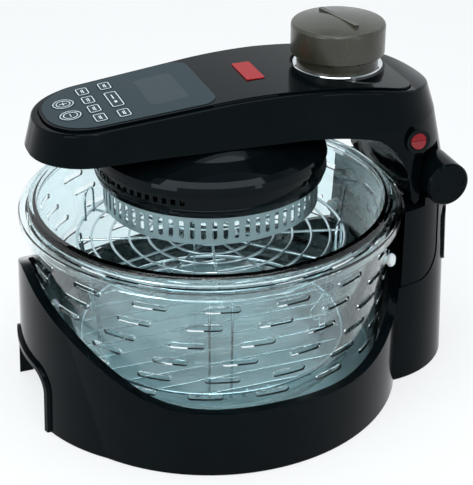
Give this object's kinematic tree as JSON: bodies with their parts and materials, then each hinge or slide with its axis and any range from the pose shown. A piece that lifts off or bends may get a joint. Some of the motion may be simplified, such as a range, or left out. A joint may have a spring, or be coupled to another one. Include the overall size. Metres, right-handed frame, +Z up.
{
  "type": "halogen oven",
  "caption": "Countertop halogen oven: glass bowl in a clear slotted wall and black base, under a tilting head with fan, lamp, control keys and steam cap.",
  "frame": {"origin": "on the floor under the middle of the overall footprint; the bowl axis stands 28.8 mm in front of it", "axes": "+Z up, -Y towards the control panel and the hand opening, +Y towards the hinge column, +X towards the rocker switch"},
  "size_m": [0.344, 0.4152, 0.3344],
  "materials": {
    "black_gloss": "glossy black moulded ABS",
    "black_satin": "satin black plastic",
    "panel": "dark grey printed overlay",
    "window": "dark display window",
    "badge": "blank red plate",
    "clear_wall": "clear polycarbonate",
    "bowl_glass": "clear toughened glass",
    "white_rubber": "translucent white silicone",
    "rack_wire": "bright chromed wire",
    "steel": "perforated stainless sheet",
    "reflector": "bright aluminium",
    "chrome": "bright chrome",
    "heater_black": "gloss black enamel",
    "smoked": "smoked translucent plastic",
    "red": "red moulded plastic",
    "rubber": "black rubber",
    "pin_steel": "ground steel",
    "quartz": "quartz tube",
    "ceramic": "white ceramic",
    "board": "green circuit board",
    "motor": "grey motor can"
  },
  "bodies": {
    "base": {"base_shell": "black_gloss", "bottom_plate": "black_satin", "base_deck": "reflector", "rubber_feet": "rubber", "base_screws": "pin_steel", "rear_cover": "black_gloss", "cord_gland": "black_satin", "shroud": "clear_wall", "shroud_bumpers": "white_rubber", "glass_bowl": "bowl_glass", "high_rack_grid": "rack_wire", "high_rack_legs": "rack_wire", "low_rack_grid": "rack_wire", "low_rack_legs": "rack_wire", "hinge_pin": "pin_steel", "hinge_barrel_right": "black_gloss", "hinge_barrel_left": "black_gloss", "hinge_cap_right": "black_gloss", "hinge_cap_left": "black_gloss"},
    "head": {"head_housing": "black_gloss", "top_cover": "black_gloss", "control_panel": "panel", "display_window": "window", "badge_plate": "badge", "cover_clips": "black_satin", "switch_bezel": "black_satin", "chrome_ring": "chrome", "reservoir_cup": "smoked", "lid_dome": "heater_black", "vent_ring": "heater_black", "steel_cage": "steel", "guard_grille": "rack_wire", "reflector": "reflector", "halogen_lamp": "quartz", "lamp_holders": "ceramic", "fan_motor": "motor", "circuit_board": "board", "thermostat": "ceramic"},
    "fan": {"fan_shaft": "pin_steel", "hot_fan": "reflector", "cooling_fan": "black_satin"},
    "rocker": {"power_rocker": "red"},
    "plug": {"cap_plug": "smoked"},
    "knob": {"cap_knob": "smoked"},
    "key_dial_1_body": {"key_dial_1": "panel"},
    "key_dial_2_body": {"key_dial_2": "panel"},
    "key_small_1_body": {"key_small_1": "panel"},
    "key_small_2_body": {"key_small_2": "panel"},
    "key_small_3_body": {"key_small_3": "panel"},
    "key_small_4_body": {"key_small_4": "panel"},
    "key_small_5_body": {"key_small_5": "panel"},
    "key_small_6_body": {"key_small_6": "panel"},
    "key_start_body": {"key_start": "panel"}
  },
  "joints": [
    {"name": "head_tilt", "type": "hinge", "parent": "base", "child": "head", "pos_m": [0, 0.1691, 0.194], "axis": [-1, 0, 0], "range_deg": [0, 72]},
    {"name": "fan_spin", "type": "hinge", "parent": "head", "child": "fan", "pos_m": [0, -0.0269, 0.23], "axis": [0, 0, 1], "continuous": true},
    {"name": "switch_rock", "type": "hinge", "parent": "head", "child": "rocker", "pos_m": [0.064, 0.1421, 0.236], "axis": [0, 1, 0], "range_deg": [0, 12]},
    {"name": "cap_lift", "type": "slide", "parent": "head", "child": "plug", "axis": [0, 0, 1], "range_m": [0, 0.035]},
    {"name": "cap_twist", "type": "hinge", "parent": "plug", "child": "knob", "pos_m": [0, 0.0921, 0.31], "axis": [0, 0, 1], "range_deg": [0, 90]},
    {"name": "press_dial_1", "type": "slide", "parent": "head", "child": "key_dial_1_body", "axis": [0, 0.096, -0.9954], "range_m": [0, 0.0005], "stiffness_N_per_m": 400, "springref_m": -0.0003},
    {"name": "press_dial_2", "type": "slide", "parent": "head", "child": "key_dial_2_body", "axis": [0, 0.096, -0.9954], "range_m": [0, 0.0005], "stiffness_N_per_m": 400, "springref_m": -0.0003},
    {"name": "press_small_1", "type": "slide", "parent": "head", "child": "key_small_1_body", "axis": [0, 0.096, -0.9954], "range_m": [0, 0.0005], "stiffness_N_per_m": 400, "springref_m": -0.0003},
    {"name": "press_small_2", "type": "slide", "parent": "head", "child": "key_small_2_body", "axis": [0, 0.096, -0.9954], "range_m": [0, 0.0005], "stiffness_N_per_m": 400, "springref_m": -0.0003},
    {"name": "press_small_3", "type": "slide", "parent": "head", "child": "key_small_3_body", "axis": [0, 0.096, -0.9954], "range_m": [0, 0.0005], "stiffness_N_per_m": 400, "springref_m": -0.0003},
    {"name": "press_small_4", "type": "slide", "parent": "head", "child": "key_small_4_body", "axis": [0, 0.096, -0.9954], "range_m": [0, 0.0005], "stiffness_N_per_m": 400, "springref_m": -0.0003},
    {"name": "press_small_5", "type": "slide", "parent": "head", "child": "key_small_5_body", "axis": [0, 0.096, -0.9954], "range_m": [0, 0.0005], "stiffness_N_per_m": 400, "springref_m": -0.0003},
    {"name": "press_small_6", "type": "slide", "parent": "head", "child": "key_small_6_body", "axis": [0, 0.096, -0.9954], "range_m": [0, 0.0005], "stiffness_N_per_m": 400, "springref_m": -0.0003},
    {"name": "press_start", "type": "slide", "parent": "head", "child": "key_start_body", "axis": [0, 0.096, -0.9954], "range_m": [0, 0.0005], "stiffness_N_per_m": 400, "springref_m": -0.0003}
  ]
}
